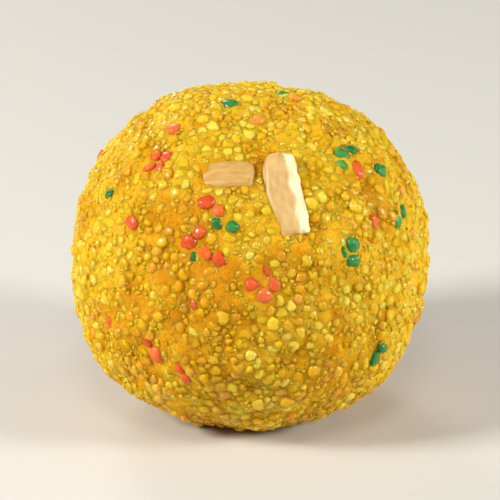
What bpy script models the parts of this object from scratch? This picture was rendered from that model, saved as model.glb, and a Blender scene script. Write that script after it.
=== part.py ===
"""A boondi ladoo: a hand-rolled ball of small fried gram flour pearls, with cashew chips in its skin.

Metres, +Z up. The origin is the middle of the flat spot that the ball rests on, and -Y is its front.
"""

import math
import random

import bmesh
import bpy
import numpy as np
from mathutils import Matrix, Vector, noise

# The ball's outer form, at the mean level of the pearls.
BALL_RADIUS = 0.02362
CROWN_HEIGHT = 0.0213  # from the widest level up to the top
FOOT_DEPTH = 0.0222  # from the widest level down to the flat spot
UNDERSIDE_DEPTH = 0.0231  # where the underside would close if nothing pressed it flat
CROWN_FULLNESS = 2.05  # exponent of the curve above the widest level, 2 being an ellipse
UNDERSIDE_FULLNESS = 2.4  # the same below it, where the soft mass has settled

# Hollows and swellings that the palm leaves.
LUMP_HEIGHT = 0.0007
LUMPS_PER_TURN = 1.9
LUMP_SEED = Vector((4.7, 1.3, 8.9))

# The pearls that show. Each is a low pyramid, as wide as a pearl.
PEARL_COUNT = 1860
PEARL_SPACING = 0.00148  # the least distance between two centres
PEARL_RISE = 0.00042
PEARL_RISE_VARIES = 0.00012
GROOVE_DEPTH = 0.00046
PIT_SHARE = 0.045  # share of places where a pearl has come off
PIT_DEPTH = 0.00075
PEARL_SEED = 21
EVENING = 0.5  # how far each centre moves towards the middle of its neighbours

# The cashew chips. First where each lies, in degrees right of the front and above the widest level,
# how far its length is turned from upright, and how far it stands out of the ball. Then its sizes and
# the bow of its length.
CHIPS = {
    "cashew_chip_long": (
        dict(azimuth=14.5, elevation=36.5, turn=3.0, proud=0.0007),
        dict(length=0.0110, width=0.0046, thickness=0.0032, bow=0.0004, seed=3),
    ),
    "cashew_chip_short": (
        dict(azimuth=-9.5, elevation=44.0, turn=-84.0, proud=0.0004),
        dict(length=0.0064, width=0.0039, thickness=0.0028, bow=0.0003, seed=11),
    ),
    "cashew_chip_rear": (
        dict(azimuth=158.0, elevation=31.0, turn=62.0, proud=0.0006),
        dict(length=0.0092, width=0.0040, thickness=0.0030, bow=0.0010, seed=5),
    ),
    "cashew_chip_side": (
        dict(azimuth=-130.0, elevation=17.0, turn=-30.0, proud=0.0005),
        dict(length=0.0074, width=0.0036, thickness=0.0028, bow=0.0005, seed=8),
    ),
}
CHIP_CUTS = 3
CHIP_ROUNDING = 0.24  # from 0, a block with sharp edges, to 1, an egg
ROUND_REACH = 1.15  # how far the egg's ends go, the block's being 1
CHIP_END_TAPER = 0.14
RIDGE_PLACE = 0.4  # where the back is highest, across the width from -1 to 1
RIDGE_SLOPE = 0.28
BREAK_DEPTH = 0.15  # unevenness of the broken faces, as a share of the half size
BREAK_FINENESS = 1.6
BREAK_SHIFTS = (Vector((0, 0, 0)), Vector((31.7, 0, 0)), Vector((0, 57.3, 0)))  # one for each axis
SEED_SPREAD = 1.37
SOCKET_GAP = 0.00035
SOCKET_OPENING = 0.0014  # how far a socket's mouth rises over the chip's back, past the pearls' tips

BOONDI_COLOUR = (0.72, 0.40, 0.035, 1.0)
BOONDI_ROUGHNESS = 0.45
CASHEW_COLOUR = (0.87, 0.68, 0.36, 1.0)
CASHEW_ROUGHNESS = 0.5


def form_radius(direction):
    """Distance from the widest level's middle to the ball's mean surface along a unit direction."""
    across = math.hypot(direction.x, direction.y) / BALL_RADIUS
    if direction.z > 0:
        along, fullness = direction.z / CROWN_HEIGHT, CROWN_FULLNESS
    else:
        along, fullness = -direction.z / UNDERSIDE_DEPTH, UNDERSIDE_FULLNESS
    plain = (across**fullness + along**fullness) ** (-1 / fullness)
    return plain + LUMP_HEIGHT * noise.noise(direction * LUMPS_PER_TURN + LUMP_SEED)


def scatter_directions(count, spacing, rng):
    """Unit directions whose points on the ball are all at least one spacing apart."""
    kept = []
    places = np.full((count, 3), np.inf)
    while len(kept) < count:
        direction = Vector(rng.gauss(0, 1) for _ in range(3)).normalized()
        place = direction * form_radius(direction)
        nearest = np.square(places - np.array(place)).sum(axis=1).min()
        if nearest >= spacing**2:
            places[len(kept)] = place
            kept.append(direction)
    return kept


def pearl_cells(directions):
    """A closed mesh of one low pyramid for each direction. Returns it with the pyramids' tips.

    The hull of points on a sphere joins each to its neighbours. Poking its triangles adds the corners of
    the grooves, and turning each old edge across its two triangles leaves every pearl with its own ring.
    """
    cells = bmesh.new()
    tips = [cells.verts.new(direction) for direction in directions]
    bmesh.ops.convex_hull(cells, input=tips)
    every_axis = dict(use_axis_x=True, use_axis_y=True, use_axis_z=True)
    bmesh.ops.smooth_vert(cells, verts=tips, factor=EVENING, **every_axis)
    between_tips = cells.edges[:]
    bmesh.ops.poke(cells, faces=cells.faces[:])
    bmesh.ops.rotate_edges(cells, edges=between_tips)
    bmesh.ops.recalc_face_normals(cells, faces=cells.faces[:])
    return cells, tips


def flatten_foot(cells):
    """Presses what reaches below the flat spot up to it, and makes the spot one face."""
    for vertex in cells.verts:
        vertex.co.z = max(vertex.co.z, -FOOT_DEPTH)
    stored_level = float(np.float32(-FOOT_DEPTH))
    spot = [face for face in cells.faces if all(vertex.co.z == stored_level for vertex in face.verts)]
    bmesh.ops.dissolve_faces(cells, faces=spot, use_verts=True)


def ball_mesh():
    """The ball with a bump for each pearl, standing on its flat spot, before the chips' sockets are cut."""
    rng = random.Random(PEARL_SEED)
    cells, tips = pearl_cells(scatter_directions(PEARL_COUNT, PEARL_SPACING, rng))
    pearls = set(tips)
    for vertex in cells.verts:
        direction = vertex.co.normalized()
        level = form_radius(direction)
        if vertex in pearls:
            level += PEARL_RISE + rng.uniform(-PEARL_RISE_VARIES, PEARL_RISE_VARIES)
            if rng.random() < PIT_SHARE:
                level -= PIT_DEPTH
        else:
            level -= GROOVE_DEPTH
        vertex.co = direction * level
    flatten_foot(cells)
    bmesh.ops.translate(cells, verts=cells.verts[:], vec=(0, 0, FOOT_DEPTH))
    return cells


def centre_on_origin(mesh):
    """Moves the ball sideways until its outline's middle is over the origin. Returns the move."""
    lows = [min(vertex.co[axis] for vertex in mesh.verts) for axis in (0, 1)]
    highs = [max(vertex.co[axis] for vertex in mesh.verts) for axis in (0, 1)]
    move = Vector((-(lows[0] + highs[0]) / 2, -(lows[1] + highs[1]) / 2, 0))
    bmesh.ops.translate(mesh, verts=mesh.verts[:], vec=move)
    return move


def chip_mesh(length, width, thickness, bow, seed):
    """A broken piece of cashew about the origin: its length along Y, its width along X, its back up."""
    chip = bmesh.new()
    bmesh.ops.create_cube(chip, size=2)
    bmesh.ops.subdivide_edges(chip, edges=chip.edges[:], cuts=CHIP_CUTS, use_grid_fill=True)
    for vertex in chip.verts:
        block = vertex.co.copy()
        place = block.lerp(block.normalized() * ROUND_REACH, CHIP_ROUNDING)
        taper = 1 - CHIP_END_TAPER * block.y**2
        place.x *= taper
        place.z *= taper
        if block.z > 0:
            place.z -= RIDGE_SLOPE * block.z * abs(block.x - RIDGE_PLACE)
        spot = block * BREAK_FINENESS + Vector((seed, seed, seed)) * SEED_SPREAD
        place += BREAK_DEPTH * Vector(noise.noise(spot + shift) for shift in BREAK_SHIFTS)
        across = place.x * width / 2 + bow * (block.y**2 - 0.5)
        vertex.co = (across, place.y * length / 2, place.z * thickness / 2)
    bmesh.ops.recalc_face_normals(chip, faces=chip.faces[:])
    return chip


def chip_matrix(azimuth, elevation, turn, proud, thickness):
    """Places a chip in the ball's skin, its back facing out."""
    across, up, spin = math.radians(azimuth), math.radians(elevation), math.radians(turn)
    out = Vector((math.sin(across) * math.cos(up), -math.cos(across) * math.cos(up), math.sin(up)))
    right = Vector((math.cos(across), math.sin(across), 0))
    upward = out.cross(right)
    wide = right * math.cos(spin) + upward * math.sin(spin)
    long = upward * math.cos(spin) - right * math.sin(spin)
    place = out * (form_radius(out) + proud - thickness / 2) + Vector((0, 0, FOOT_DEPTH))
    axes = Matrix((wide, long, out)).transposed().to_4x4()
    return Matrix.Translation(place) @ axes


def add_object(name, source, material=None):
    """A scene object from a bmesh, which is freed."""
    mesh = bpy.data.meshes.new(name)
    source.to_mesh(mesh)
    source.free()
    if material:
        mesh.materials.append(material)
    thing = bpy.data.objects.new(name, mesh)
    bpy.context.scene.collection.objects.link(thing)
    return thing


def principled(name, colour, roughness):
    material = bpy.data.materials.new(name)
    material.use_nodes = True
    shader = material.node_tree.nodes["Principled BSDF"]
    shader.inputs["Base Color"].default_value = colour
    shader.inputs["Roughness"].default_value = roughness
    shader.inputs["Metallic"].default_value = 0.0
    return material


def add_chip(name, where, shape, ball, move, material):
    """A chip in its node, and its socket in the ball, wider by a gap and open at the chip's back."""
    place = Matrix.Translation(move) @ chip_matrix(thickness=shape["thickness"], **where)
    chip = add_object(name, chip_mesh(**shape), material)
    chip.matrix_world = place
    grown = chip_mesh(**shape)
    grown.normal_update()
    for vertex in grown.verts:
        vertex.co += vertex.normal * SOCKET_GAP * vertex.calc_shell_factor()
        if vertex.co.z > 0:
            vertex.co.z += SOCKET_OPENING
    cutter = add_object(name + "_socket", grown)
    cutter.matrix_world = place
    cutter.hide_render = True
    cutter.display_type = "WIRE"
    socket = ball.modifiers.new(name + "_socket", "BOOLEAN")
    socket.operation = "DIFFERENCE"
    socket.solver = "EXACT"
    socket.object = cutter


def main():
    for thing in list(bpy.data.objects):
        bpy.data.objects.remove(thing)
    boondi = principled("boondi", BOONDI_COLOUR, BOONDI_ROUGHNESS)
    cashew = principled("cashew", CASHEW_COLOUR, CASHEW_ROUGHNESS)
    cells = ball_mesh()
    move = centre_on_origin(cells)
    ball = add_object("ladoo_ball", cells, boondi)
    for name, (where, shape) in CHIPS.items():
        add_chip(name, where, shape, ball, move, cashew)


main()
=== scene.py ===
import math
import random

import bmesh
import bpy
import numpy as np
from mathutils import Matrix, Vector, noise
from mathutils.bvhtree import BVHTree
from mathutils.kdtree import KDTree


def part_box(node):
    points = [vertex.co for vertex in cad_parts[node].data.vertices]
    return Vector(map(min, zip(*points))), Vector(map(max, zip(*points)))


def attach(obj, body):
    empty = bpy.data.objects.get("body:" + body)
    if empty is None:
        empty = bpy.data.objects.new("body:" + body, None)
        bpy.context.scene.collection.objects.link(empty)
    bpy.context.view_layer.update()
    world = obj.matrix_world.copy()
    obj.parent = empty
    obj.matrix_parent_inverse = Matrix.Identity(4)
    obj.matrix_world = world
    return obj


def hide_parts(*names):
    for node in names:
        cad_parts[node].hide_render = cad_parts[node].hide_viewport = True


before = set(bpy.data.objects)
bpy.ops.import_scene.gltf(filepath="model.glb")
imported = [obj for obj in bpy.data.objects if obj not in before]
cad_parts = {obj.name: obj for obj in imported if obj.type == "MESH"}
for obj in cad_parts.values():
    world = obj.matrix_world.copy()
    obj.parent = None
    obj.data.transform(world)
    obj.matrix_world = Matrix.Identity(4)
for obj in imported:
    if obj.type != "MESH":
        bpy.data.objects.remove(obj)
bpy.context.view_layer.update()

# The ball as the palms leave it: warm boondi, bound with sugar syrup and ghee, rolled round and set down on
# a soft foot. It has the solid ball's sizes, and distances run from the middle of its widest level. Every
# pearl lies on it.
FORM_RADIUS = 0.02362
FORM_CROWN = 0.0213  # from the widest level up to the top
FORM_FOOT = 0.0222  # from the widest level down to the table
FORM_UNDERSIDE = 0.0231  # where the underside would close if nothing pressed it flat
FULLNESS_ABOVE = 2.05  # exponent of the curve above the widest level, 2 being an ellipse
FULLNESS_BELOW = 2.4
PALM_HOLLOW = 0.0007
PALM_HOLLOWS = 1.9  # how many lie side by side on a turn
PALM_SEED = Vector((4.7, 1.3, 8.9))
SKIN_LUMPS = 0.00080  # small lumps, two to four pearls wide, where the mix was not pressed even
SKIN_LUMP_FINENESS = 5.8
SMALLER_LUMPS = 0.5  # height of the smaller lumps between them, over theirs
SMALLER_LUMP_FINENESS = 2.1  # the same for how many lie side by side
CHIP_HOLLOW = 0.00022  # how far the fingers pressed the skin down round the two front chips
CHIP_HOLLOW_WAY = Vector((0.06, -0.76, 0.64)).normalized()
CHIP_HOLLOW_WIDTH = 0.30  # its radius, as a share of the ball's
ON_AXIS = 1e-9  # the distance from the ball's axis that counts as none


def form_level(direction):
    """Distance to the form's mean surface along a unit direction."""
    across = math.hypot(direction.x, direction.y) / FORM_RADIUS
    if direction.z > 0:
        along, fullness = direction.z / FORM_CROWN, FULLNESS_ABOVE
    else:
        along, fullness = -direction.z / FORM_UNDERSIDE, FULLNESS_BELOW
    plain = (across**fullness + along**fullness) ** (-1 / fullness)
    return plain + PALM_HOLLOW * noise.noise(direction * PALM_HOLLOWS + PALM_SEED)


def form_outward(place):
    """The way that the form's surface faces near a place."""
    across = math.hypot(place.x, place.y)
    if place.z > 0:
        height, fullness = FORM_CROWN, FULLNESS_ABOVE
    else:
        height, fullness = FORM_UNDERSIDE, FULLNESS_BELOW
    sideways = (across / FORM_RADIUS) ** (fullness - 1) / FORM_RADIUS / max(across, ON_AXIS)
    upwards = math.copysign((abs(place.z) / height) ** (fullness - 1) / height, place.z)
    return Vector((place.x * sideways, place.y * sideways, upwards)).normalized()


def skin_level(direction):
    """Distance to the lumpy skin along a unit direction, or to the table under the foot."""
    lumps = noise.noise(direction * SKIN_LUMP_FINENESS)
    lumps += SMALLER_LUMPS * noise.noise(direction * SKIN_LUMP_FINENESS * SMALLER_LUMP_FINENESS)
    near_chips = math.exp(-((direction - CHIP_HOLLOW_WAY).length / CHIP_HOLLOW_WIDTH) ** 4)
    level = form_level(direction) + SKIN_LUMPS * lumps * (1 - near_chips) - CHIP_HOLLOW * near_chips
    if direction.z < 0:
        level = min(level, FORM_FOOT / -direction.z)
    return level


def onto_form(place, sink):
    """The point that lies under the skin by the sink on a place's ray. On the foot it lies over the table."""
    direction = place.normalized()
    found = direction * (skin_level(direction) - sink)
    if found.z < sink - FORM_FOOT:
        found *= (sink - FORM_FOOT) / found.z
    return found


# The solid ball's box says where the form's middle is over the table: its palm hollows leave it a little off
# centre.
MEASURING_STEPS = 48
ball_low, ball_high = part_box("ladoo_ball")
form_low, form_high = Vector((1, 1, 1)), Vector((-1, -1, -1))
for turn_step in range(2 * MEASURING_STEPS):
    for rise_step in range(1, MEASURING_STEPS):
        measured = Vector((0, 0, 1))
        measured.rotate(Matrix.Rotation(math.pi * rise_step / MEASURING_STEPS, 3, "X"))
        measured.rotate(Matrix.Rotation(math.pi * turn_step / MEASURING_STEPS, 3, "Z"))
        measured *= form_level(measured)
        form_low = Vector(map(min, form_low, measured))
        form_high = Vector(map(max, form_high, measured))
form_middle = (ball_low + ball_high - form_low - form_high) / 2
form_middle.z = ball_low.z + FORM_FOOT

# Where the dyed pearls start. Most batter is plain yellow; a little is dyed red or green, fried apart and
# strewn in, and its pearls often hang together. On the front each spot of them lies where the photograph
# has it, read in its pixels: (across, down, the spot's width in millimetres).
PHOTO_FOCAL = 1064.0  # focal length of the photograph's view, in its pixels
PHOTO_MIDDLE = (253.2, 376.6)  # the pixel at which it shows the form's middle
VIEW_ELEVATION = math.radians(21)
VIEW_DISTANCE = 0.39
RED_SPOTS = (
    (219.6, 346.6, 4.4), (226.6, 333.6, 1.7), (239.8, 357.6, 2.2), (243.2, 361.2, 1.5), (211.1, 368.1, 1.6),
    (231.3, 373.6, 2.8), (237.9, 381.7, 2.7), (258.4, 391.0, 4.0), (234.1, 397.8, 1.8), (202.9, 405.3, 1.7),
    (218.1, 413.5, 2.7), (229.4, 423.3, 2.6), (190.3, 379.8, 1.8), (291.7, 348.7, 2.0), (298.3, 367.6, 1.8),
)
GREEN_SPOTS = (
    (246.4, 325.1, 2.4), (263.4, 321.8, 1.5), (286.2, 346.6, 3.2), (290.8, 341.5, 1.6), (301.2, 349.6, 2.4),
    (202.6, 358.7, 1.2), (241.7, 367.6, 1.2), (248.3, 369.1, 1.4), (307.8, 365.7, 2.7), (288.9, 379.8, 3.5),
    (300.2, 416.7, 2.7), (233.2, 380.8, 1.2),
)
ORANGE_SPOTS = ((270.0, 323.2, 1.6), (256.8, 331.7, 1.8), (270.0, 395.9, 1.4), (307.8, 355.3, 1.4))
HIDDEN_SPOTS = {"red": 22, "green": 19, "orange": 7}  # how many more lie where the photograph doesn't look
HIDDEN_WIDTHS = (1.2, 1.6, 1.8, 2.6, 2.7, 3.2)
MILLIMETRES = 1000  # in a metre
DYED_PITCH = 1.80  # width of one pearl in a spot of several, in millimetres
DYED_FILL = 0.75  # share of such a spot that its pearls fill
DYED_SHOWN = 1.40  # a pearl's width as it shows, over its radius
DYED_SIZES = (0.88, 1.12)  # the least and the most of a pearl's size, over the usual one
SPOT_RING = 0.0004  # radius of a spot's ring for each millimetre that it is wider than one pearl
SKIN_PLACES = 24000  # how many places of the skin are looked through for each spot's own
EDGE_ON = 0.05  # cosine to the camera's way within which a place counts as neither shown nor hidden
GOLDEN_ANGLE = math.pi * (3 - math.sqrt(5))
DYE_DRAWS = random.Random(9)

view_back = Vector((0, -math.cos(VIEW_ELEVATION), math.sin(VIEW_ELEVATION)))
view_up = Vector((0, math.sin(VIEW_ELEVATION), math.cos(VIEW_ELEVATION)))


def even_places(count):
    """That many places, spread evenly over the skin on a spiral."""
    places = []
    for index in range(count):
        height = 1 - (2 * index + 1) / count
        turn = index * GOLDEN_ANGLE
        level = math.sqrt(1 - height**2)
        places.append(onto_form(Vector((level * math.cos(turn), level * math.sin(turn), height)), 0))
    return places


def photo_pixel(place):
    """Where the photograph shows a place of the ball."""
    scale = PHOTO_FOCAL / (VIEW_DISTANCE - place.dot(view_back))
    return Vector((PHOTO_MIDDLE[0] + place.x * scale, PHOTO_MIDDLE[1] - place.dot(view_up) * scale))


def spot_pearls(middle, width, rng):
    """Starts and radii of the dyed pearls that fill a spot of that width, in a ring if they are several."""
    count = max(1, round(DYED_FILL * (width / DYED_PITCH) ** 2))
    radius = (width if count == 1 else DYED_PITCH) / DYED_SHOWN / MILLIMETRES
    ring = 0 if count == 1 else SPOT_RING * (width - DYED_PITCH)
    out = form_outward(middle)
    turn = rng.uniform(0, math.tau)
    found = []
    for index in range(count):
        aside = out.orthogonal().normalized() * ring
        aside.rotate(Matrix.Rotation(turn + index * math.tau / count, 3, out))
        found.append((onto_form(middle + aside, 0), radius * rng.uniform(*DYED_SIZES)))
    return found


skin_places = even_places(SKIN_PLACES)
shown = [(photo_pixel(place), place) for place in skin_places if form_outward(place).dot(view_back) > EDGE_ON]
hidden = [place for place in skin_places if form_outward(place).dot(view_back) < -EDGE_ON]


def shown_place(pixel):
    """The place of the skin that the photograph shows at a pixel."""
    return min(shown, key=lambda pair: (pair[0] - pixel).length)[1]


dyed_pearls = []
for dyed, spots in (("red", RED_SPOTS), ("green", GREEN_SPOTS), ("orange", ORANGE_SPOTS)):
    placed = [(shown_place(Vector(spot[:2])), spot[2]) for spot in spots]
    placed += [(DYE_DRAWS.choice(hidden), DYE_DRAWS.choice(HIDDEN_WIDTHS)) for _ in range(HIDDEN_SPOTS[dyed])]
    for middle, width in placed:
        dyed_pearls += [(dyed, start, radius) for start, radius in spot_pearls(middle, width, DYE_DRAWS)]

# Where the pearls lie. Boondi are drops of gram flour batter, fried through a ladle's holes, so their sizes
# differ, and rolling breaks many of them. It also packs them side by side: strewn evenly, they settle here
# by pushing each other apart until all just press.
WHOLE_RADII = (0.00078, 0.00135, 0.00102)  # smallest, largest, usual
BROKEN_RADII = (0.00034, 0.00080, 0.00056)
BROKEN_SHARE = 0.42
PLAIN_COUNT = 4500  # how many plain pearls are strewn, before those on a dyed one are left out
STREWN_OFF = 0.0009  # how far a plain pearl starts from its even place
PRESSED = 0.76  # how close two pressed centres come, as a share of their radii's sum
SINK_SHARE = 0.60  # how deep a centre lies, as a share of the radius
DYED_SINK_SHARE = 0.42
SINK_VARIES = 0.00022
DYED_GIVE = 0.20  # how far a dyed pearl gives way, over a plain one
SETTLING_ROUNDS = 22
CHIP_NODES = ("cashew_chip_long", "cashew_chip_short", "cashew_chip_rear", "cashew_chip_side")
CHIP_PRESS = 0.80  # how close a pearl's centre comes to a chip, as a share of its radius
CHIP_DEEPEST = 0.0017  # a little over half of the thickest chip, so no place inside one lies deeper
PEARL_DRAWS = random.Random(5)


def chip_solids():
    """The chips' solids in the form's frame, for finding the nearest place on each."""
    found = []
    for name in CHIP_NODES:
        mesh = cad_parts[name].data
        corners = [vertex.co - form_middle for vertex in mesh.vertices]
        found.append(BVHTree.FromPolygons(corners, [polygon.vertices[:] for polygon in mesh.polygons]))
    return found


CHIP_SOLIDS = chip_solids()


def chip_side(place):
    """The nearest chip's side as (way to it, distance) from a place. The distance is negative inside it."""
    nearest = (None, math.inf)
    for solid in CHIP_SOLIDS:
        spot, normal, _, distance = solid.find_nearest(place)
        if distance < abs(nearest[1]):
            inside = distance < CHIP_DEEPEST and (place - spot).dot(normal) < 0
            way = (place - spot if inside else spot - place).normalized()
            nearest = (way, -distance if inside else distance)
    return nearest


def tree_of(places):
    """The places in a tree, for finding those near another."""
    tree = KDTree(len(places))
    for index, place in enumerate(places):
        tree.insert(place, index)
    tree.balance()
    return tree


def settle_pearls(starts, radii, sinks, gives):
    """Where pearls come to rest from their starts. Each gives way as much as its share says."""
    places = [onto_form(start, sink) for start, sink in zip(starts, sinks)]
    for _ in range(SETTLING_ROUNDS):
        near = tree_of(places)
        moved = []
        for index, place in enumerate(places):
            push = Vector()
            reach = PRESSED * (radii[index] + WHOLE_RADII[1])
            for other, other_index, distance in near.find_range(place, reach):
                wanted = PRESSED * (radii[index] + radii[other_index])
                if other_index != index and distance < wanted:
                    push += (place - other) * ((wanted - distance) / distance / 2)
            push *= gives[index]
            chip_way, chip_distance = chip_side(place)
            push -= chip_way * max(CHIP_PRESS * radii[index] - chip_distance, 0)
            moved.append(onto_form(place + push, sinks[index]))
        places = moved
    return places


pearl_starts = [start for _, start, _ in dyed_pearls]
pearl_radii = [radius for _, _, radius in dyed_pearls]
pearl_sinks = [radius * DYED_SINK_SHARE for radius in pearl_radii]
for even in even_places(PLAIN_COUNT):
    start = onto_form(even + Vector(PEARL_DRAWS.gauss(0, STREWN_OFF) for _ in range(3)), 0)
    if all((dyed_start - start).length > radius + BROKEN_RADII[0] for _, dyed_start, radius in dyed_pearls):
        sizes = BROKEN_RADII if PEARL_DRAWS.random() < BROKEN_SHARE else WHOLE_RADII
        pearl_starts.append(start)
        pearl_radii.append(PEARL_DRAWS.triangular(*sizes))
        pearl_sinks.append(pearl_radii[-1] * SINK_SHARE + PEARL_DRAWS.uniform(-SINK_VARIES, SINK_VARIES))
pearl_gives = [DYED_GIVE] * len(dyed_pearls) + [1.0] * (len(pearl_starts) - len(dyed_pearls))
pearl_places = settle_pearls(pearl_starts, pearl_radii, pearl_sinks, pearl_gives)
pearl_near = tree_of(pearl_places)

# How one pearl is pressed. It starts as a round drop and gives way on each side where something bears on
# it: its neighbours, the palm, the table, and a cashew chip. Some are split flat on one side. Its corners
# gather on the side that shows.
PEARL_ROUNDNESS = 2  # 1 is a drop of 20 triangles, and each step more divides every one into four
PALM_RISE = 0.00024  # how far over the skin the palm leaves a pearl's top
PALM_RISE_VARIES = 0.00014
DYED_RISE = 0.00014  # how much prouder a dyed pearl is
PALM_TILT = 0.22  # how far a top leans, as a slope
SPLIT_SHARE = 0.40
SPLIT_LEFT = (0.30, 0.75)  # how much of its radius a split pearl keeps on that side
CONTACT_OVERLAP = 1.07  # how far two pressed sides reach, over their contact, so that no crack opens
CHIP_CLEARANCE = 0.00003
CHIP_TAKES = 0.3  # a pearl with its centre nearer to a chip than this share of its radius is left out
SOFTNESS = 6.0  # how sharply a pressed side meets the next; higher is sharper
LEAST_LEFT = 0.00001  # how much of a drop a pressed side leaves at least
GRAZING = 0.05  # cosine under which a corner's way doesn't meet a side
UNEVENNESS = 0.52  # how much a drop's radius varies before it is pressed
UNEVEN_FINENESS = 1.2
SEED_RANGE = 99
FACING = 0.42  # how far the corners are drawn to the side that shows
DOWN = Vector((0, 0, -1))


def drop_corners(roundness):
    """Corners and triangles of the round drop that every pearl starts from."""
    drop = bmesh.new()
    bmesh.ops.create_icosphere(drop, subdivisions=roundness, radius=1)
    drop.verts.ensure_lookup_table()
    corners = np.array([vertex.co for vertex in drop.verts])
    triangles = np.array([[vertex.index for vertex in face.verts] for face in drop.faces])
    drop.free()
    return corners, triangles


def random_way(rng):
    return Vector(rng.gauss(0, 1) for _ in range(3)).normalized()


def pressed_drop(corners, radius, planes, rng):
    """A drop's corners after pressing. Each plane is (direction, distance) of something that bears on it."""
    seed = Vector(rng.uniform(0, SEED_RANGE) for _ in range(3))
    uneven = np.array([noise.noise(Vector(corner) * UNEVEN_FINENESS + seed) for corner in corners])
    reach = (radius * (1 + UNEVENNESS * uneven)) ** -SOFTNESS
    for direction, distance in planes:
        towards = corners @ np.array(direction)
        meets = towards > GRAZING
        reach[meets] += (max(distance, LEAST_LEFT) / towards[meets]) ** -SOFTNESS
    return corners * (reach ** (-1 / SOFTNESS))[:, None]


def turned_corners(corners, outward, rng):
    """A drop's corners turned at random, then drawn towards the side that shows."""
    turn = Matrix.Rotation(rng.uniform(0, math.tau), 3, random_way(rng))
    drawn = corners @ np.array(turn) + FACING * np.array(outward)
    return drawn / np.linalg.norm(drawn, axis=1)[:, None]


def pressed_pearl(index, corners, rng):
    """A pearl's corners in the form's frame, or None where a chip fills its place."""
    place, radius = pearl_places[index], pearl_radii[index]
    outward = form_outward(place)
    planes = []
    for other, other_index, distance in pearl_near.find_range(place, radius + WHOLE_RADII[1]):
        if other_index != index and distance < radius + pearl_radii[other_index]:
            contact = (distance**2 + radius**2 - pearl_radii[other_index] ** 2) / (2 * distance)
            planes.append(((other - place) / distance, contact * CONTACT_OVERLAP))
    palm = (outward + PALM_TILT * random_way(rng)).normalized()
    rise = PALM_RISE + rng.uniform(-PALM_RISE_VARIES, PALM_RISE_VARIES)
    if index < len(dyed_pearls):
        rise += DYED_RISE
    planes.append((palm, pearl_sinks[index] + rise))
    planes.append((DOWN, place.z + FORM_FOOT))
    if rng.random() < SPLIT_SHARE:
        planes.append(((outward + random_way(rng)).normalized(), radius * rng.uniform(*SPLIT_LEFT)))
    chip_way, chip_distance = chip_side(place)
    planes.append((chip_way, chip_distance - CHIP_CLEARANCE))
    drop = pressed_drop(turned_corners(corners, outward, rng), radius, planes, rng)
    return None if chip_distance < CHIP_TAKES * radius else drop + np.array(place)


pearl_corners, _ = drop_corners(PEARL_ROUNDNESS)
pearls = [pressed_pearl(index, pearl_corners, PEARL_DRAWS) for index in range(len(pearl_places))]

# The pearls' meshes, one piece for each kind: the dyed ones, and the plain ones by how long they fried,
# with deeper kinds on the lower front as painted shade. Each pearl carries its own tone, low for its kind's
# deeper colours and high for the brighter, and each corner how deep it lies, for the grooves' darker colour:
# partly the syrup and ghee that gather there, partly painted shade.
# The pale kind is partly painted highlight: bright cream flecks among the pearls, fewer where the mix is
# browned.
FRESH_SHARES = {"lemon": 0.40, "amber": 0.06, "pale": 0.22, "golden": 0.32}
BROWNED_SHARES = {"lemon": 0.06, "amber": 0.42, "pale": 0.01, "golden": 0.51}
BROWNED_LEVEL = 0.16  # how well fried the mix is in general
BROWN_PATCHES = 2.4  # how many patches of well fried mix, and of barely fried, lie side by side on a turn
BROWN_SPECKS = 8.0  # the same for its small patches, a few pearls wide
BROWN_SPECK_SHARE = 0.8  # how much the small patches brown it, over the large ones
BROWN_SEED = Vector((2.3, 7.1, 0.4))
# Painted shade: the lower front, between the side lights, is browned more, so its pearls and mash are deeper
# and more orange.
FRONT_SHADE_PATCH = Vector((240, 400))  # the patch on the lower front, in the photograph's pixels
FRONT_SHADE_REACH = 36.0
FRONT_SHADE_SHARE = 0.75
FRESH_TONE = 0.4  # the least tone of a fresh pearl, and the most of a browned one
TONES_VARY = 0.6
GROOVE_REACH = 0.00055
PEARL_WETNESS = 0.58
PEARL_WRINKLES = 0.00014  # height of the fine wrinkles
# The fourth colour of each kind is its grooves': darker and more orange, partly the syrup and ghee there,
# partly painted shade.
KIND_COLOURS = {  # deepest, mean, brightest, in the grooves
    "golden": ((0.68, 0.290, 0.002), (0.74, 0.360, 0.003), (0.80, 0.440, 0.009), (0.69, 0.275, 0.002)),
    "lemon": ((0.71, 0.330, 0.003), (0.77, 0.405, 0.006), (0.83, 0.500, 0.022), (0.72, 0.305, 0.002)),
    "amber": ((0.65, 0.250, 0.002), (0.71, 0.315, 0.003), (0.77, 0.390, 0.006), (0.66, 0.245, 0.001)),
    "pale": ((0.75, 0.400, 0.008), (0.81, 0.490, 0.030), (0.87, 0.600, 0.080), (0.74, 0.330, 0.003)),
    "red": ((0.60, 0.065, 0.014), (0.74, 0.110, 0.024), (0.84, 0.190, 0.050), (0.46, 0.060, 0.006)),
    "green": ((0.010, 0.110, 0.025), (0.020, 0.200, 0.050), (0.080, 0.320, 0.070), (0.040, 0.110, 0.006)),
    "orange": ((0.72, 0.180, 0.015), (0.80, 0.250, 0.030), (0.86, 0.340, 0.050), (0.52, 0.120, 0.004)),
}
BLOTCH_FINENESS = 1100.0  # how many lie side by side in a metre, as in the next three
PATCH_FINENESS = 130.0
FILM_FINENESS = 420.0
WRINKLE_FINENESS = 2600.0
PITS_SHARE = 0.4  # how much the small pits add to the wrinkles
PATCH_TONE_SHARE = 0.35  # how much of a spot's tone its patch gives; its blotch gives the rest
SPOT_TONE_SHARE = 0.6  # how much of the whole tone the spot gives; the pearl's own gives the rest
TONE_STOPS = (0.25, 0.5, 0.75)  # the tones at which the deepest, mean and brightest colours are reached
GROOVE_DEPTHS = (0.15, 1.0)  # the depths between which the grooves' colour comes in
GROOVE_SHADE_MOST = 0.8  # how far it comes in at the deepest
DRY_ROUGHNESS = (0.62, 0.82)
WET_SMOOTHS = 0.7  # how much less rough full wetness is
BLEND_SOCKETS = {"FLOAT": (2, 3, 0), "RGBA": (6, 7, 2)}  # first and second input, and output


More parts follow.
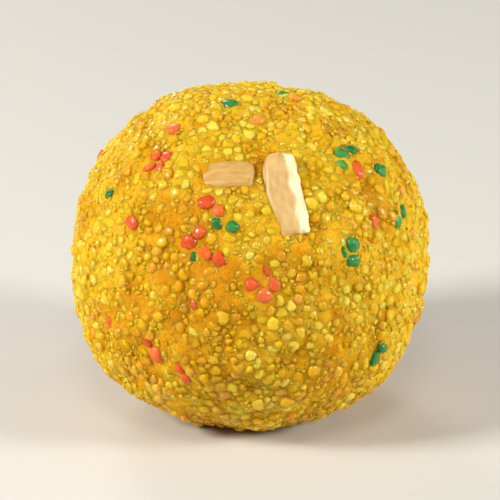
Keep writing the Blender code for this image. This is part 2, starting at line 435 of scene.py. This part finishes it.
def browned_and_shaded(place):
    """How well fried the mix is at a place, from 0 to 1, raised on the lower front as painted shade."""
    share = BROWNED_LEVEL + noise.noise(place.normalized() * BROWN_PATCHES + BROWN_SEED)
    share += BROWN_SPECK_SHARE * noise.noise(place.normalized() * BROWN_SPECKS)
    if form_outward(place).dot(view_back) > 0:
        aside = (photo_pixel(place) - FRONT_SHADE_PATCH).length / FRONT_SHADE_REACH
        share += FRONT_SHADE_SHARE * math.exp(-aside ** 2)
    return min(max(share, 0), 1)


def depth_of(place):
    """How deep a place lies in the grooves, from 0 at the palm's level to 1."""
    return min(max((skin_level(place.normalized()) + PALM_RISE - place.length) / GROOVE_REACH, 0), 1)


def place_piece(name, corners, faces, tones):
    """A piece of the ladoo from corners in the form's frame, with a tone for each corner."""
    mesh = bpy.data.meshes.new(name)
    mesh.from_pydata((corners + np.array(form_middle)).tolist(), [], faces.tolist())
    mesh.shade_smooth()
    depths = [depth_of(Vector(corner)) for corner in corners]
    mesh.attributes.new("depth", "FLOAT", "POINT").data.foreach_set("value", depths)
    mesh.attributes.new("tone", "FLOAT", "POINT").data.foreach_set("value", tones)
    piece = bpy.data.objects.new(name, mesh)
    bpy.context.scene.collection.objects.link(piece)
    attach(piece, "root")
    return piece


def joined_drops(name, drops, tones, roundness):
    """One piece of many drops, each with its own tone."""
    _, triangles = drop_corners(roundness)
    corners = np.concatenate(drops)
    faces = np.concatenate([triangles + index * len(drops[0]) for index in range(len(drops))])
    return place_piece(name, corners, faces, np.repeat(tones, len(drops[0])))


def shader_of(material):
    return material.node_tree.nodes["Principled BSDF"]


def new_material(name):
    material = bpy.data.materials.new(name)
    material.use_nodes = True
    return material


def feed(tree, source, socket):
    """Joins a socket to the one that feeds it, or gives it a plain value."""
    if isinstance(source, bpy.types.NodeSocket):
        tree.links.new(source, socket)
    else:
        socket.default_value = source


def texture_at(tree, kind, place, scale, **values):
    """A texture read at a place, with the values of its other sockets."""
    texture = tree.nodes.new(kind)
    feed(tree, place, texture.inputs["Vector"])
    feed(tree, scale, texture.inputs["Scale"])
    for socket, value in values.items():
        feed(tree, value, texture.inputs[socket])
    return texture


def blend_of(tree, kind, share, first, second):
    """Two values or two colours, blended from the first to the second by a share."""
    blend = tree.nodes.new("ShaderNodeMix")
    blend.data_type = kind
    first_input, second_input, output = BLEND_SOCKETS[kind]
    feed(tree, share, blend.inputs[0])
    feed(tree, first, blend.inputs[first_input])
    feed(tree, second, blend.inputs[second_input])
    return blend.outputs[output]


def ranged(tree, source, read, given):
    """A value that goes over the given range while its source goes over the read one."""
    ranging = tree.nodes.new("ShaderNodeMapRange")
    feed(tree, source, ranging.inputs["Value"])
    for socket, value in zip(("From Min", "From Max", "To Min", "To Max"), (*read, *given)):
        feed(tree, value, ranging.inputs[socket])
    return ranging.outputs["Result"]


def ramp_of(tree, source, *stops):
    """A colour that goes from stop to stop while its source rises. Each stop is (value, colour)."""
    ramp = tree.nodes.new("ShaderNodeValToRGB")
    first, *between, last = stops
    for element, (value, colour) in zip(ramp.color_ramp.elements, (first, last)):
        element.position, element.color = value, (*colour, 1)
    for value, colour in between:
        ramp.color_ramp.elements.new(value).color = (*colour, 1)
    feed(tree, source, ramp.inputs["Fac"])
    return ramp.outputs["Color"]


def relief_of(tree, height, strength, distance):
    """A surface's normal where a height stands out of it, as far as the distance."""
    bump = tree.nodes.new("ShaderNodeBump")
    bump.inputs["Strength"].default_value = strength
    bump.inputs["Distance"].default_value = distance
    feed(tree, height, bump.inputs["Height"])
    return bump.outputs["Normal"]


def fried_surface():
    """The node group of a fried surface: its blotches, patches and wrinkles, and its film of syrup."""
    group = bpy.data.node_groups.new("fried_surface", "ShaderNodeTree")
    for name in ("Blotch Scale", "Wrinkle Scale"):
        group.interface.new_socket(name, in_out="INPUT", socket_type="NodeSocketFloat")
    for name in ("Blotches", "Patches", "Film", "Relief"):
        group.interface.new_socket(name, in_out="OUTPUT", socket_type="NodeSocketFloat")
    asked, given = group.nodes.new("NodeGroupInput"), group.nodes.new("NodeGroupOutput")
    place = group.nodes.new("ShaderNodeTexCoord").outputs["Object"]
    blotch_scale, wrinkle_scale = asked.outputs["Blotch Scale"], asked.outputs["Wrinkle Scale"]
    blotches = texture_at(group, "ShaderNodeTexNoise", place, blotch_scale, Detail=3.0, Roughness=0.6)
    patches = texture_at(group, "ShaderNodeTexNoise", place, PATCH_FINENESS, Detail=2.0)
    film = texture_at(group, "ShaderNodeTexNoise", place, FILM_FINENESS, Detail=2.0)
    wrinkles = texture_at(group, "ShaderNodeTexNoise", place, wrinkle_scale, Detail=4.0, Roughness=0.65)
    pits = texture_at(group, "ShaderNodeTexVoronoi", place, wrinkle_scale)
    relief = group.nodes.new("ShaderNodeMath")
    relief.operation = "MULTIPLY_ADD"
    feed(group, pits.outputs["Distance"], relief.inputs[0])
    feed(group, PITS_SHARE, relief.inputs[1])
    feed(group, wrinkles.outputs["Fac"], relief.inputs[2])
    feed(group, blotches.outputs["Fac"], given.inputs["Blotches"])
    feed(group, patches.outputs["Fac"], given.inputs["Patches"])
    feed(group, film.outputs["Fac"], given.inputs["Film"])
    feed(group, relief.outputs[0], given.inputs["Relief"])
    return group


FRIED = fried_surface()


def boondi_material(name, wetness, wrinkles, *colours):
    """Boondi of one batter: wetness, wrinkles' height, three colours, and the grooves' one, partly painted
    shade.
    """
    material = new_material(name)
    tree, shader = material.node_tree, shader_of(material)
    *tone_colours, groove_syrup_shade_colour = colours
    fried = tree.nodes.new("ShaderNodeGroup")
    fried.node_tree = FRIED
    fried.inputs["Blotch Scale"].default_value = BLOTCH_FINENESS
    fried.inputs["Wrinkle Scale"].default_value = WRINKLE_FINENESS
    tone, depth = tree.nodes.new("ShaderNodeAttribute"), tree.nodes.new("ShaderNodeAttribute")
    tone.attribute_name, depth.attribute_name = "tone", "depth"
    spot_tone = blend_of(tree, "FLOAT", PATCH_TONE_SHARE, fried.outputs["Blotches"], fried.outputs["Patches"])
    whole_tone = blend_of(tree, "FLOAT", SPOT_TONE_SHARE, tone.outputs["Fac"], spot_tone)
    fried_colour = ramp_of(tree, whole_tone, *zip(TONE_STOPS, tone_colours))
    # Painted shade, with the syrup that gathers there: the grooves' darker colour comes in with depth.
    groove_syrup_shade = ranged(tree, depth.outputs["Fac"], GROOVE_DEPTHS, (0, GROOVE_SHADE_MOST))
    colour = blend_of(tree, "RGBA", groove_syrup_shade, fried_colour, (*groove_syrup_shade_colour, 1))
    roughness = [dry - WET_SMOOTHS * wetness for dry in DRY_ROUGHNESS]
    feed(tree, colour, shader.inputs["Base Color"])
    feed(tree, ranged(tree, fried.outputs["Film"], (0.35, 0.65), roughness), shader.inputs["Roughness"])
    feed(tree, ranged(tree, fried.outputs["Film"], (0.58, 0.42), (0, wetness)), shader.inputs["Coat Weight"])
    feed(tree, relief_of(tree, fried.outputs["Relief"], 0.8, wrinkles), shader.inputs["Normal"])
    shader.inputs["Subsurface Weight"].default_value = 0.8
    shader.inputs["Subsurface Radius"].default_value = (1.0, 0.65, 0.08)
    shader.inputs["Subsurface Scale"].default_value = 0.0022
    shader.inputs["Specular IOR Level"].default_value = 0.12
    shader.inputs["Coat Roughness"].default_value = 0.16
    return material


kinds = [dyed for dyed, _, _ in dyed_pearls]
for place in pearl_places[len(kinds):]:
    brown_and_shade = browned_and_shaded(place)
    weights = [fresh + (BROWNED_SHARES[kind] - fresh) * brown_and_shade for kind, fresh in FRESH_SHARES.items()]
    kinds += PEARL_DRAWS.choices(list(FRESH_SHARES), weights=weights)
for kind, colours in KIND_COLOURS.items():
    own = [index for index, drop in enumerate(pearls) if drop is not None and kinds[index] == kind]
    drops = [pearls[index] for index in own]
    tones = [FRESH_TONE + TONES_VARY * (PEARL_DRAWS.random() - browned_and_shaded(pearl_places[index])) for index in own]
    piece = joined_drops(kind + "_pearls", drops, tones, PEARL_ROUNDNESS)
    piece.data.materials.append(boondi_material(kind + "_boondi", PEARL_WETNESS, PEARL_WRINKLES, *colours))
    if kind == "golden":
        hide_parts("ladoo_ball")

# The mash between the pearls: boondi crushed in the palms and bound with syrup and ghee. It fills the
# grooves, higher in some patches than in others, and climbs a little on every pearl beside it. Its mesh
# closes under the pearls as the ball's inside.
MASH_ROUNDNESS = 5  # counted as a pearl's
MASH_CUTS = 4  # cuts in each edge after that
MASH_SINK = 0.00008
MASH_PATCHES = 0.00015
MASH_PATCH_FINENESS = 9.0
MASH_CRUMBS = 0.00018
MASH_CRUMB_FINENESS = 46.0
MASH_CLIMB = 0.00007  # how softly it leaves a pearl's side; the lower, the sharper
MASH_UNDER = 0.00024  # how far it stays inside a pearl's top
MASH_TONE = 1.2  # its tone where it is fresh
MASH_BROWNS = 1.5  # how much lower its tone is where it is well fried
MASH_TONE_VARIES = 0.6
MASH_TONE_FINENESS = 900
MASH_WETNESS = 0.0
MASH_WRINKLES = 0.00026
# The mash's fourth colour, for its grooves, is partly syrup and partly painted shade.
MASH_COLOURS = ((0.65, 0.265, 0.002), (0.71, 0.335, 0.003), (0.79, 0.450, 0.014), (0.66, 0.260, 0.002))


def mash_height(place, base):
    """Height of the mash over a place of the skin: its base, smoothly raised to the pearls beside it."""
    total = math.exp(base / MASH_CLIMB)
    for other, other_index, distance in pearl_near.find_range(place, WHOLE_RADII[1]):
        radius, sink = pearl_radii[other_index], pearl_sinks[other_index]
        aside_squared = max(distance**2 - sink**2, 0)
        if aside_squared < radius**2 and pearls[other_index] is not None:
            height = min(math.sqrt(radius**2 - aside_squared) - sink, PALM_RISE) - MASH_UNDER
            total += math.exp(height / MASH_CLIMB)
    return MASH_CLIMB * math.log(total)


mash_form = bmesh.new()
bmesh.ops.create_icosphere(mash_form, subdivisions=MASH_ROUNDNESS, radius=1)
bmesh.ops.subdivide_edges(mash_form, edges=mash_form.edges[:], cuts=MASH_CUTS, use_grid_fill=True)
for vertex in mash_form.verts:
    way = vertex.co.normalized()
    base = MASH_PATCHES * noise.noise(way * MASH_PATCH_FINENESS) - MASH_SINK
    base += MASH_CRUMBS * noise.noise(way * MASH_CRUMB_FINENESS)
    vertex.co = onto_form(way, -mash_height(onto_form(way, 0), base))
    vertex.co.z = max(vertex.co.z, -FORM_FOOT)
mash_form.verts.index_update()
mash_corners = np.array([vertex.co for vertex in mash_form.verts])
mash_faces = np.array([[vertex.index for vertex in face.verts] for face in mash_form.faces])
mash_form.free()
mash_tones = []
# The mash's tone is lower where the mix is well fried, and on the lower front as painted shade.
for corner in map(Vector, mash_corners):
    varied = MASH_TONE_VARIES * noise.noise(corner * MASH_TONE_FINENESS)
    mash_tones.append(MASH_TONE - MASH_BROWNS * browned_and_shaded(corner) + varied)
mash = place_piece("mash", mash_corners, mash_faces, mash_tones)
mash.data.materials.append(boondi_material("mashed_boondi", MASH_WETNESS, MASH_WRINKLES, *MASH_COLOURS))

# Crumbs of broken boondi, from a quarter of a millimetre to nearly one across. Rolling rubs them off the
# pearls, and the syrup sticks them in the grooves.
CRUMB_COUNT = 4200
CRUMB_ROUNDNESS = 1
CRUMB_SMALLEST = 0.00014
CRUMB_LARGEST = 0.00042
CRUMB_SINK = 0.00008
CRUMB_CLEAR = 0.80  # how far from a pearl's centre a crumb finds room, as a share of the pearl's radius
CRUMB_SIDES = 4  # how many flat sides it broke with
CRUMB_LEFT = (0.5, 0.9)  # how much of its radius it keeps on them
CRUMB_DRAWS = random.Random(17)
CRUMB_WETNESS = 0.30
# The crumbs' fourth colour, for the grooves, is partly syrup and partly painted shade.
CRUMB_COLOURS = ((0.67, 0.280, 0.002), (0.74, 0.370, 0.005), (0.81, 0.480, 0.024), (0.66, 0.260, 0.002))

crumb_corners, _ = drop_corners(CRUMB_ROUNDNESS)
crumbs = []
while len(crumbs) < CRUMB_COUNT:
    place = onto_form(random_way(CRUMB_DRAWS), CRUMB_SINK)
    _, nearest_index, nearest_distance = pearl_near.find(place)
    in_groove = nearest_distance > CRUMB_CLEAR * pearl_radii[nearest_index]
    if in_groove and chip_side(place)[1] > CRUMB_SMALLEST:
        radius = CRUMB_SMALLEST + (CRUMB_LARGEST - CRUMB_SMALLEST) * CRUMB_DRAWS.random() ** 2
        planes = []
        for _ in range(CRUMB_SIDES):
            planes.append((random_way(CRUMB_DRAWS), radius * CRUMB_DRAWS.uniform(*CRUMB_LEFT)))
        planes.append((form_outward(place), CRUMB_SINK + PALM_RISE))
        planes.append((DOWN, place.z + FORM_FOOT))
        turned = turned_corners(crumb_corners, form_outward(place), CRUMB_DRAWS)
        crumbs.append(pressed_drop(turned, radius, planes, CRUMB_DRAWS) + np.array(place))
crumb_tones = [CRUMB_DRAWS.random() for _ in crumbs]
crumb_piece = joined_drops("crumbs", crumbs, crumb_tones, CRUMB_ROUNDNESS)
crumb_material = boondi_material("broken_boondi", CRUMB_WETNESS, PEARL_WRINKLES, *CRUMB_COLOURS)
crumb_piece.data.materials.append(crumb_material)

# The cashew chips: kernels broken small and dropped into the mix, held by the pearls round them. One side
# of each is the kernel's own tan skin side with its lengthwise streaks, the other a fresh ivory break; on the
# long chip the pale break lies on the right, partly as painted light where the right light strikes.
CHIP_CUTS = 4
CHIP_FULLNESS = 0.3  # how far the cuts swell out of the solid's flat faces
CHIP_SMOOTHINGS = 9
CHIP_SMOOTHING = 0.5
WELD = 0.000001
# Painted light in part: on the long chip the pale break is put on its right side, which the right light
# strikes.
LIT_BREAK_STARTS = {  # where the broken side starts across the chip, from -1 to 1; past 1 none shows
    "cashew_chip_long": 0.15,
    "cashew_chip_short": 1.2,
    "cashew_chip_rear": 0.1,
    "cashew_chip_side": 0.4,
}
SKIN_PALENESS = {  # how far the skin side's colour is the break's
    "cashew_chip_long": 0.1,
    "cashew_chip_short": 0,
    "cashew_chip_rear": 0.2,
    "cashew_chip_side": 0.1,
}
BREAK_EDGE = 0.12  # width of the change from skin to break, in half widths
BREAK_WANDERS = 0.25  # how far that edge wanders, in half widths
BREAK_FINENESS = 500
BREAK_SEED = 3
CHIP_STEPS = 0.00022  # height of the steps on the broken side
SKIN_STEPS = 0.4  # the same on the skin side, over those
STEP_FINENESS = np.array((500, 900, 700))  # across, along and out, as in the next two
CHIP_FIBRES = 0.00003
FIBRE_FINENESS = np.array((3600, 500, 3600))
STREAK_FINENESS = (1500, 520, 1500)
STREAK_RELIEF = 0.00008
SKIN_COLOURS = (0.32, (0.48, 0.260, 0.060)), (0.68, (0.60, 0.370, 0.120))
FLESH_COLOURS = (0.30, (0.74, 0.58, 0.300)), (0.62, (0.87, 0.78, 0.510))


def chip_axes(corners):
    """A chip's middle and its own axes: across, along and out of the ball."""
    middle = corners.mean(axis=0)
    out = np.array(form_outward(Vector(middle) - form_middle))
    flat = corners - middle
    flat = flat - np.outer(flat @ out, out)
    along = np.linalg.svd(flat, full_matrices=False)[2][0]
    along = along if along[2] > 0 else -along
    return middle, np.array([np.cross(along, out), along, out])


def chip_piece(node):
    """A finer chip on a chip's solid, with its own axes and its broken, partly painted-light side as
    attributes.
    """
    chip = bmesh.new()
    chip.from_mesh(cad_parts[node].data)
    bmesh.ops.remove_doubles(chip, verts=chip.verts[:], dist=WELD)
    bmesh.ops.subdivide_edges(
        chip, edges=chip.edges[:], cuts=CHIP_CUTS, use_grid_fill=True, smooth=CHIP_FULLNESS
    )
    every_axis = dict(use_axis_x=True, use_axis_y=True, use_axis_z=True)
    for _ in range(CHIP_SMOOTHINGS):
        bmesh.ops.smooth_vert(chip, verts=chip.verts[:], factor=CHIP_SMOOTHING, **every_axis)
    chip.normal_update()
    corners = np.array([vertex.co for vertex in chip.verts])
    middle, axes = chip_axes(corners)
    own = (corners - middle) @ axes.T
    half_width = np.abs(own[:, 0]).max()
    break_and_lit_share = []
    for vertex, spot in zip(chip.verts, own):
        wander = BREAK_WANDERS * noise.noise(Vector((0, spot[1] * BREAK_FINENESS, BREAK_SEED)))
        past_edge = spot[0] / half_width + wander - LIT_BREAK_STARTS[node]
        share = min(max(past_edge / BREAK_EDGE, 0), 1)
        steps = noise.noise(Vector(spot * STEP_FINENESS))
        fibres = noise.noise(Vector(spot * FIBRE_FINENESS))
        vertex.co += vertex.normal * (CHIP_STEPS * max(share, SKIN_STEPS) * steps + CHIP_FIBRES * fibres)
        break_and_lit_share.append(SKIN_PALENESS[node] + (1 - SKIN_PALENESS[node]) * share)
    mesh = bpy.data.meshes.new(node + "_kernel")
    chip.to_mesh(mesh)
    chip.free()
    mesh.shade_smooth()
    mesh.attributes.new("break_and_lit_share", "FLOAT", "POINT").data.foreach_set("value", break_and_lit_share)
    mesh.attributes.new("grain", "FLOAT_VECTOR", "POINT").data.foreach_set("vector", own.ravel())
    piece = bpy.data.objects.new(node + "_kernel", mesh)
    bpy.context.scene.collection.objects.link(piece)
    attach(piece, "root")
    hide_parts(node)
    return piece


def cashew_material():
    """Cashew kernel: tan, lengthwise streaks on its skin side; ivory, fibrous where broken, partly painted
    light.
    """
    material = new_material("cashew_kernel")
    tree, shader = material.node_tree, shader_of(material)
    grain, break_and_lit_share = tree.nodes.new("ShaderNodeAttribute"), tree.nodes.new("ShaderNodeAttribute")
    grain.attribute_name, break_and_lit_share.attribute_name = "grain", "break_and_lit_share"
    stretched = tree.nodes.new("ShaderNodeMapping")
    feed(tree, STREAK_FINENESS, stretched.inputs["Scale"])
    feed(tree, grain.outputs["Vector"], stretched.inputs["Vector"])
    streaks = texture_at(tree, "ShaderNodeTexNoise", stretched.outputs["Vector"], 1.0, Detail=4.0)
    streak = streaks.outputs["Fac"]
    skin, flesh = ramp_of(tree, streak, *SKIN_COLOURS), ramp_of(tree, streak, *FLESH_COLOURS)
    colour = blend_of(tree, "RGBA", break_and_lit_share.outputs["Fac"], skin, flesh)
    feed(tree, colour, shader.inputs["Base Color"])
    feed(tree, ranged(tree, streak, (0, 1), (0.32, 0.55)), shader.inputs["Roughness"])
    feed(tree, relief_of(tree, streak, 0.5, STREAK_RELIEF), shader.inputs["Normal"])
    shader.inputs["Subsurface Weight"].default_value = 0.3
    shader.inputs["Subsurface Radius"].default_value = (1.0, 0.7, 0.35)
    shader.inputs["Subsurface Scale"].default_value = 0.0008
    return material


CASHEW = cashew_material()
for node in CHIP_NODES:
    chip_piece(node).data.materials.append(CASHEW)

# The table it stands on, plain and pale. Soft lights stand at both sides of it, above and behind, and the
# camera looks from the photograph's height and distance.
FLOOR_SIZE = 3.0
CAMERA_SENSOR = 36  # millimetres, as the lens
CAMERA_LENS = 212
CAMERA_DROP = 0.0006  # how far under the form's middle it looks
CAMERA_NEAREST = 0.02
WORLD_STRENGTH = 0.19
LIGHTS = {  # azimuth and elevation in degrees, distance and size in metres, power, colour
    "key_light": (-66, 32, 0.7, 0.18, 5.6, (1.0, 0.99, 0.93)),
    "right_light": (70, 24, 0.7, 0.16, 3.9, (0.98, 1.0, 0.94)),
    "rim_light": (104, 8, 0.6, 0.10, 0.6, (1.0, 1.0, 0.95)),
    "top_light": (0, 52, 0.8, 0.20, 1.2, (1.0, 0.94, 0.84)),
    "back_light": (200, 26, 0.8, 0.24, 1.8, (1.0, 0.93, 0.84)),
}

floor_form = bmesh.new()
bmesh.ops.create_grid(floor_form, x_segments=1, y_segments=1, size=FLOOR_SIZE / 2)
floor_mesh = bpy.data.meshes.new("floor")
floor_form.to_mesh(floor_mesh)
floor_form.free()
floor = bpy.data.objects.new("floor", floor_mesh)
bpy.context.scene.collection.objects.link(floor)
floor_finish = new_material("pale_table")
shader_of(floor_finish).inputs["Base Color"].default_value = (0.60, 0.59, 0.56, 1)
shader_of(floor_finish).inputs["Roughness"].default_value = 0.7
floor_mesh.materials.append(floor_finish)


def softbox(name, azimuth, elevation, distance, size, power, colour):
    """A square light that faces the ladoo. Azimuth 0 is the camera's side and 90 its right."""
    light = bpy.data.lights.new(name, "AREA")
    light.size = size
    light.energy = power
    light.color = colour
    across, up = math.radians(azimuth), math.radians(elevation)
    out = Vector((math.sin(across) * math.cos(up), -math.cos(across) * math.cos(up), math.sin(up)))
    lamp = bpy.data.objects.new(name, light)
    lamp.location = form_middle + out * distance
    lamp.rotation_euler = (-out).to_track_quat("-Z", "Y").to_euler()
    bpy.context.scene.collection.objects.link(lamp)


for name, values in LIGHTS.items():
    softbox(name, *values)

world = bpy.data.worlds.new("studio")
world.use_nodes = True
world.node_tree.nodes["Background"].inputs["Color"].default_value = (1.0, 0.98, 0.95, 1)
world.node_tree.nodes["Background"].inputs["Strength"].default_value = WORLD_STRENGTH
bpy.context.scene.world = world
bpy.context.scene.view_settings.view_transform = "Standard"

camera = bpy.data.cameras.new("camera")
camera.sensor_width = CAMERA_SENSOR
camera.lens = CAMERA_LENS
camera.clip_start = CAMERA_NEAREST
camera_object = bpy.data.objects.new("camera", camera)
camera_object.location = form_middle + view_back * VIEW_DISTANCE - view_up * CAMERA_DROP
camera_object.rotation_euler = (-view_back).to_track_quat("-Z", "Y").to_euler()
bpy.context.scene.collection.objects.link(camera_object)
bpy.context.scene.camera = camera_object
